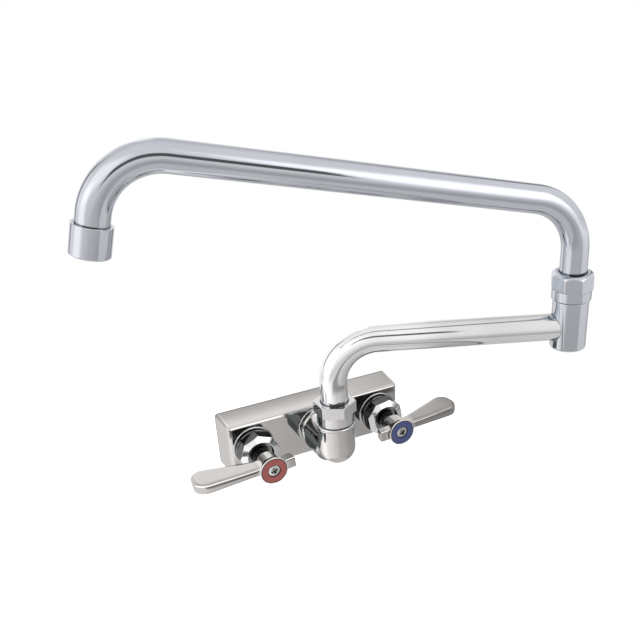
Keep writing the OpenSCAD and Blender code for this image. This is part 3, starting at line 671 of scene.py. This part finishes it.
def rotated(flat, angle):
    cosine, sine = math.cos(angle), math.sin(angle)
    return Vector((cosine * flat.x - sine * flat.y, sine * flat.x + cosine * flat.y))


def bent_line(route, bend_r):
    """Points and directions along a flat route whose corners are bends of radius bend_r."""
    line = []
    last = len(route) - 1
    for i, corner in enumerate(route):
        here = Vector(corner)
        if i in (0, last):
            along = Vector(route[1]) - here if i == 0 else here - Vector(route[last - 1])
            line.append((here, along.normalized()))
            continue
        into = (here - Vector(route[i - 1])).normalized()
        out = (Vector(route[i + 1]) - here).normalized()
        turn = math.atan2(into.x * out.y - into.y * out.x, into.dot(out))
        start = here - into * bend_r * math.tan(abs(turn) / 2)
        side = math.copysign(1.0, turn)
        hub = start + side * bend_r * Vector((-into.y, into.x))
        steps = max(2, round(abs(math.degrees(turn)) / BEND_STEP))
        for step in range(steps + 1):
            spun = turn * step / steps
            line.append((hub + rotated(start - hub, spun), rotated(into, spun)))
    return line


def swept_tube(name, joint, heading, bend_r, route):
    """A tube along a route of (out, up) points in the upright plane through a joint's axis at heading."""
    foot = Vector((JOINT_AT[joint][0] / MM, JOINT_AT[joint][1] / MM, 0))
    out = Vector((math.cos(heading), math.sin(heading), 0))
    across = Vector((-math.sin(heading), math.cos(heading), 0))
    up = Vector((0, 0, 1))
    points, faces = [], []
    line = bent_line(route, bend_r)
    for radius, ordered in ((TUBE_R, line), (BORE_R, list(reversed(line)))):
        for at, along in ordered:
            normal = along.x * up - along.y * out
            centre = foot + at.x * out + at.y * up
            for k in range(TUBE_SIDES):
                angle = 2 * math.pi * k / TUBE_SIDES
                offset = radius * (math.cos(angle) * normal + math.sin(angle) * across)
                points.append((centre + offset) * MM)
    rings = 2 * len(line)
    for i in range(rings):
        ring, next_ring = i * TUBE_SIDES, (i + 1) % rings * TUBE_SIDES
        for k in range(TUBE_SIDES):
            beside = (k + 1) % TUBE_SIDES
            faces.append((ring + k, ring + beside, next_ring + beside, next_ring + k))
    mesh = bpy.data.meshes.new(name + "_swept")
    mesh.from_pydata(points, [], faces)
    mesh.validate()
    mesh.shade_smooth()
    piece = placed(name + "_swept", mesh)
    piece.modifiers.new("ends", "EDGE_SPLIT").split_angle = END_EDGE
    stand_for(piece, name)


arm_1_foot = (0.0, JOINT_AT["lower_swivel"][2] / MM + FOOT_ABOVE_JOINT)
arm_1_route = [arm_1_foot, (0.0, ARM_1_Z), (ARM_1_REACH, ARM_1_Z)]
swept_tube("arm_1_tube", "lower_swivel", ARM_1_HEADING, ARM_1_BEND_R, arm_1_route)

arm_2_foot = (0.0, JOINT_AT["upper_swivel"][2] / MM + FOOT_ABOVE_JOINT)
top_corner = Vector((0.0, ARM_1_Z + ARM_2_RISE))
far_corner = top_corner + ARM_2_RUN * Vector((math.cos(SLOPE), math.sin(SLOPE)))
tube_end = far_corner + ARM_2_DROP * Vector((math.sin(LEAN), -math.cos(LEAN)))
arm_2_route = [arm_2_foot, tuple(top_corner), tuple(far_corner), tuple(tube_end)]
swept_tube("arm_2_tube", "upper_swivel", ARM_2_HEADING, ARM_2_BEND_R, arm_2_route)


# Floor, two reflectors that only the metal sees, and the lamp

FLOOR_LEVEL, FLOOR_RADIUS, FLOOR_SIDES = -0.30, 0.62, 96
FLOOR_GREY, FLOOR_GLOW = 0.80, 0.70


def make_floor():
    """A pale floor that takes the faucet's shadow, and glows to white for the camera."""
    mesh = bpy.data.meshes.new("floor")
    turns = [2 * math.pi * i / FLOOR_SIDES for i in range(FLOOR_SIDES)]
    rim = [(FLOOR_RADIUS * math.cos(turn), FLOOR_RADIUS * math.sin(turn), FLOOR_LEVEL) for turn in turns]
    mesh.from_pydata(rim, [], [tuple(range(FLOOR_SIDES))])
    floor = placed("floor", mesh)
    material, net = new_material("pale_floor")
    diffuse = net.node("ShaderNodeBsdfDiffuse", Color=grey(FLOOR_GREY))
    glow = net.node("ShaderNodeEmission", Color=grey(1.0), Strength=FLOOR_GLOW)
    added = net.node("ShaderNodeAddShader")
    net.link(diffuse.outputs[0], added.inputs[0])
    net.link(glow.outputs[0], added.inputs[1])
    net.show(net.blend(net.ray("Is Camera Ray"), diffuse.outputs[0], added.outputs[0]))
    mesh.materials.append(material)


def sheet(name, columns, rows, point):
    """A mesh of columns times rows faces, with its points at point(across, up), both from 0 to 1."""
    width = columns + 1
    points = [point(i / columns, j / rows) for j in range(rows + 1) for i in range(width)]
    faces = [
        (j * width + i, j * width + i + 1, (j + 1) * width + i + 1, (j + 1) * width + i)
        for j in range(rows) for i in range(columns)
    ]
    mesh = bpy.data.meshes.new(name)
    mesh.from_pydata(points, [], faces)
    return mesh


def show_in_metal_only(piece):
    for kind in ("camera", "diffuse", "transmission", "volume_scatter", "shadow"):
        setattr(piece, "visible_" + kind, False)


SCREEN_AT, SCREEN_RADIUS = (0.0, -0.057), 0.118
SCREEN_FROM, SCREEN_TO, SCREEN_BOTTOM, SCREEN_TOP = -165.0, 125.0, -0.22, 0.030
SCREEN_COLUMNS, SCREEN_ROWS = 64, 12
SCREEN_TOP_FADE, SCREEN_SIDE_FADE = 0.022, 20

# Brightness by azimuth
SCREEN_LEVELS = [
    (-165, 0.75), (-140, 0.95), (-105, 1.22), (-85, 1.24), (-58, 1.10), (-31, 0.90),
    (-4, 0.68), (24, 0.62), (56, 0.50), (80, 0.48), (125, 0.40),
]

# A dark edge along part of the screen, with its height in metres, its azimuth and its strength
EDGE_AT, EDGE_HALF, EDGE_SOFT = 0.002, 0.006, 0.006
EDGE_TURN, EDGE_TURN_HALF, EDGE_TURN_SOFT = 22.0, 50.0, 15.0
EDGE_DARKENING = 0.6

# Where the screen is darker in mirror images of mirror images, and what they are tinted with
TWICE_TURN, TWICE_TURN_HALF, TWICE_TURN_SOFT, TWICE_DARKENING = -30.0, 36.0, 20.0, 0.64
SCREEN_TWICE_TINT = (0.82, 0.94, 1.0, 1.0)


def screen_point(across, up):
    angle = math.radians(SCREEN_FROM + (SCREEN_TO - SCREEN_FROM) * across)
    x = SCREEN_AT[0] + SCREEN_RADIUS * math.sin(angle)
    y = SCREEN_AT[1] - SCREEN_RADIUS * math.cos(angle)
    return (x, y, SCREEN_BOTTOM + (SCREEN_TOP - SCREEN_BOTTOM) * up)


def make_screen():
    """Low curved reflector round the body, bright on the left."""
    mesh = sheet("screen", SCREEN_COLUMNS, SCREEN_ROWS, screen_point)
    screen = placed("screen", mesh)
    material, net = new_material("screen")
    x, y, z = net.split(net.coordinates("Object"))
    turn = net.azimuth(net.math("SUBTRACT", x, SCREEN_AT[0]), net.math("SUBTRACT", SCREEN_AT[1], y))
    edge = net.window(z, EDGE_AT, EDGE_HALF, EDGE_SOFT)
    edge = net.times(edge, net.window(turn, EDGE_TURN, EDGE_TURN_HALF, EDGE_TURN_SOFT))
    level = net.times(net.ramp(turn, -180, 180, SCREEN_LEVELS), net.less(edge, EDGE_DARKENING))
    again = net.seen_twice()
    shaded = net.times(again, net.window(turn, TWICE_TURN, TWICE_TURN_HALF, TWICE_TURN_SOFT))
    level = net.times(level, net.less(shaded, TWICE_DARKENING))
    below = net.smooth(z, SCREEN_TOP - SCREEN_TOP_FADE, SCREEN_TOP, 1.0, 0.0)
    from_left = net.smooth(turn, SCREEN_FROM, SCREEN_FROM + SCREEN_SIDE_FADE)
    from_right = net.smooth(turn, SCREEN_TO - SCREEN_SIDE_FADE, SCREEN_TO, 1.0, 0.0)
    solid = net.times(below, from_left, from_right)
    glow = net.node("ShaderNodeEmission")
    net.link(net.mix(again, grey(1.0), SCREEN_TWICE_TINT), glow.inputs["Color"])
    net.link(level, glow.inputs["Strength"])
    clear = net.node("ShaderNodeBsdfTransparent")
    net.show(net.blend(solid, clear.outputs[0], glow.outputs[0]))
    mesh.materials.append(material)
    show_in_metal_only(screen)


STRIP_AWAY, STRIP_FROM, STRIP_TO, STRIP_HIGH = 0.25, -0.280, 0.040, 0.062
STRIP_BEND_AT, STRIP_BEND_FALL = -0.190, 0.9
STRIP_RAISED = math.radians(16.0)
STRIP_COLUMNS, STRIP_ROWS = 24, 8

# The second arm's line seen from above: y at the joint, and how far it goes back per metre to the left
STRIP_ARM_Y, STRIP_ARM_BACK = -0.1206, 0.22

# Middle, half and soft edge of the black, as shares of the strip
STRIP_ACROSS, STRIP_UP = (0.5, 0.42, 0.08), (0.5, 0.28, 0.20)
STRIP_DARKENING = 0.88


def strip_point(across, up):
    """A point of the strip, which runs along the second arm and falls away beyond its bend."""
    x = STRIP_FROM + (STRIP_TO - STRIP_FROM) * across
    along = JOINT_AT["upper_swivel"][0] - x
    arm_y = STRIP_ARM_Y + along * STRIP_ARM_BACK
    arm_z = along * math.tan(SLOPE) + (ARM_1_Z + ARM_2_RISE) * MM
    lift = STRIP_AWAY * math.tan(STRIP_RAISED) + STRIP_HIGH * (2 * up - 1)
    lift -= STRIP_BEND_FALL * max(0.0, STRIP_BEND_AT - x)
    return (x, arm_y - STRIP_AWAY, arm_z + lift)


def make_strip():
    """Black strip hung in front of the spout's second arm."""
    mesh = sheet("strip", STRIP_COLUMNS, STRIP_ROWS, strip_point)
    strip = placed("strip", mesh)
    unrolled = mesh.uv_layers.new(name="across")
    for loop in mesh.loops:
        row, column = divmod(loop.vertex_index, STRIP_COLUMNS + 1)
        unrolled.data[loop.index].uv = (column / STRIP_COLUMNS, row / STRIP_ROWS)
    material, net = new_material("strip")
    place = net.split(net.coordinates("UV"))
    solid = net.times(net.window(place[0], *STRIP_ACROSS), net.window(place[1], *STRIP_UP))
    clear = net.node("ShaderNodeBsdfTransparent")
    black = net.node("ShaderNodeEmission", Strength=0.0)
    net.show(net.blend(net.times(solid, STRIP_DARKENING), clear.outputs[0], black.outputs[0]))
    mesh.materials.append(material)
    show_in_metal_only(strip)


LAMP_AT, LAMP_TARGET = Vector((-1.3, -1.0, 1.9)), Vector((0, 0, 0.1))
LAMP_WIDTH, LAMP_POWER = 0.9, 9.0


def make_lamp():
    """A soft lamp high on the left, which the metal doesn't mirror."""
    data = bpy.data.lights.new("key", "AREA")
    data.shape = "RECTANGLE"
    data.size = data.size_y = LAMP_WIDTH
    data.energy = LAMP_POWER
    lamp = placed("key", data)
    lamp.location = LAMP_AT
    lamp.rotation_euler = (LAMP_TARGET - LAMP_AT).to_track_quat("-Z", "Y").to_euler()
    lamp.visible_glossy = False


make_floor()
make_screen()
make_strip()
make_lamp()
